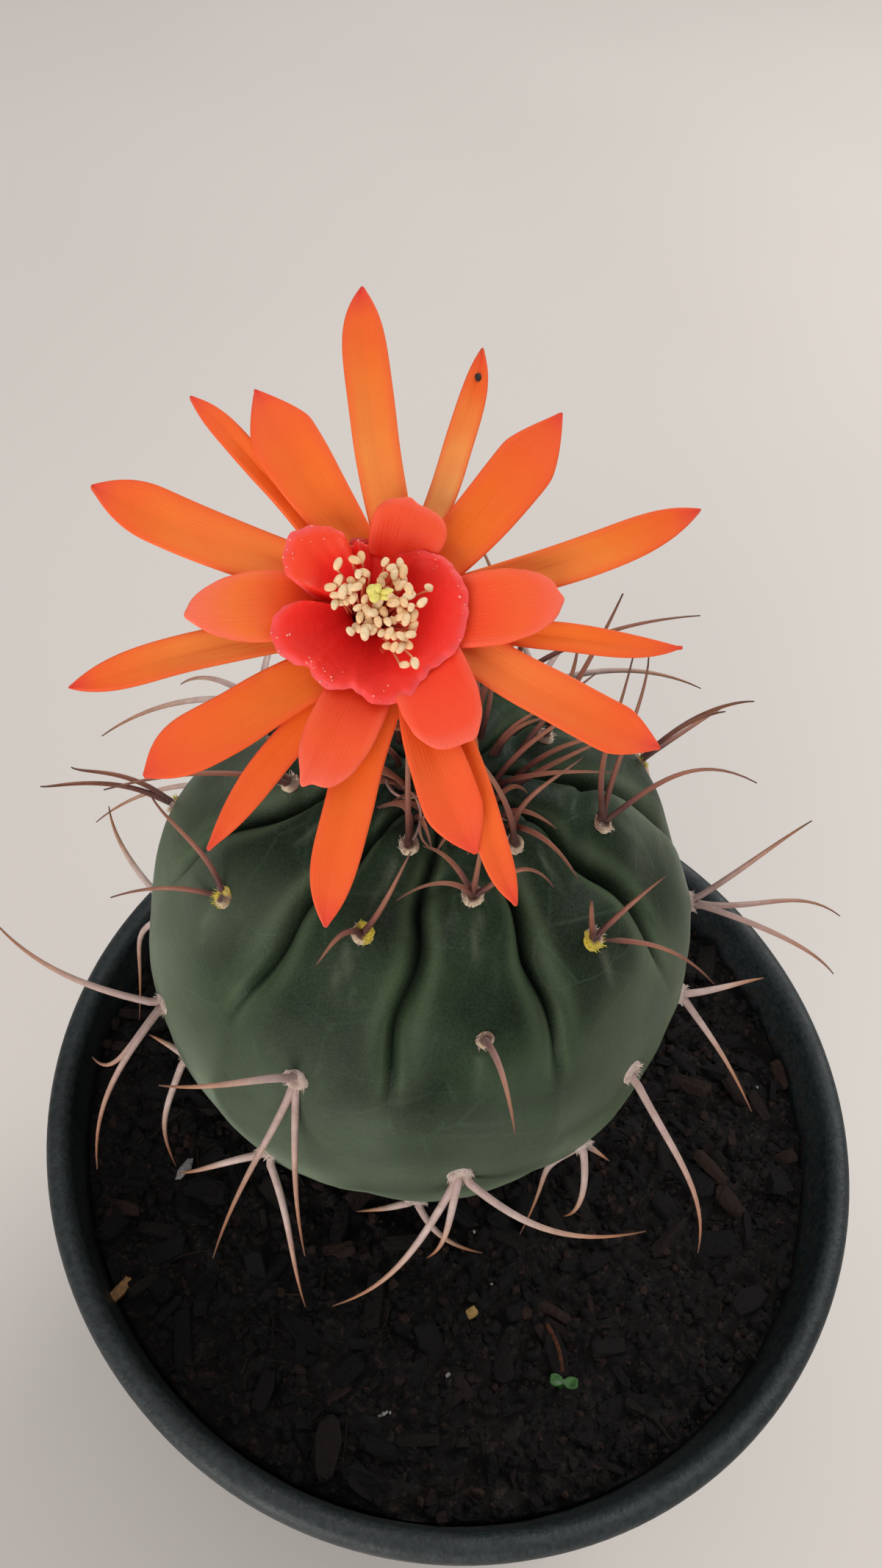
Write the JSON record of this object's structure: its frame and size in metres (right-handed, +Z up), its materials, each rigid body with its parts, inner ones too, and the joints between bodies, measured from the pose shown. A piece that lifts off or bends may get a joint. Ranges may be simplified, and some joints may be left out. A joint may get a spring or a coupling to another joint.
{
  "type": "potted matucana madisoniorum",
  "caption": "Ball cactus with low ribs and long curved spines, off-centre in a round plastic pot of dark soil, with one long-tubed orange-red star flower leaning from its crown.",
  "frame": {"origin": "middle of the pot's flat base, on the surface that it stands on", "axes": "+Z up along the pot's axis; the flower leans and faces towards -Y, about 57 degrees above level; +X is to the right of someone who faces the flower"},
  "size_m": [0.1589, 0.1615, 0.2696],
  "materials": {
    "pot_plastic": "dark green-black moulded plastic, soft sheen",
    "potting_mix": "moist, crumbly, near black with bark chips",
    "cactus_skin": "waxy blue-green skin with a grey bloom",
    "outer_tepals": "satin, slightly see-through orange with red edges and tips",
    "inner_tepals": "satin coral red",
    "anthers": "powdery cream",
    "stigma": "soft yellow-green",
    "seedling_leaf": "fresh green"
  },
  "bodies": {
    "root": {"pot": "pot_plastic", "soil": "potting_mix", "cactus_stem": "cactus_skin", "flower_tube": "outer_tepals", "flower_inner_tepals": "inner_tepals", "flower_stamens": "anthers", "flower_pistil": "stigma", "seedling": "seedling_leaf"}
  },
  "joints": []
}
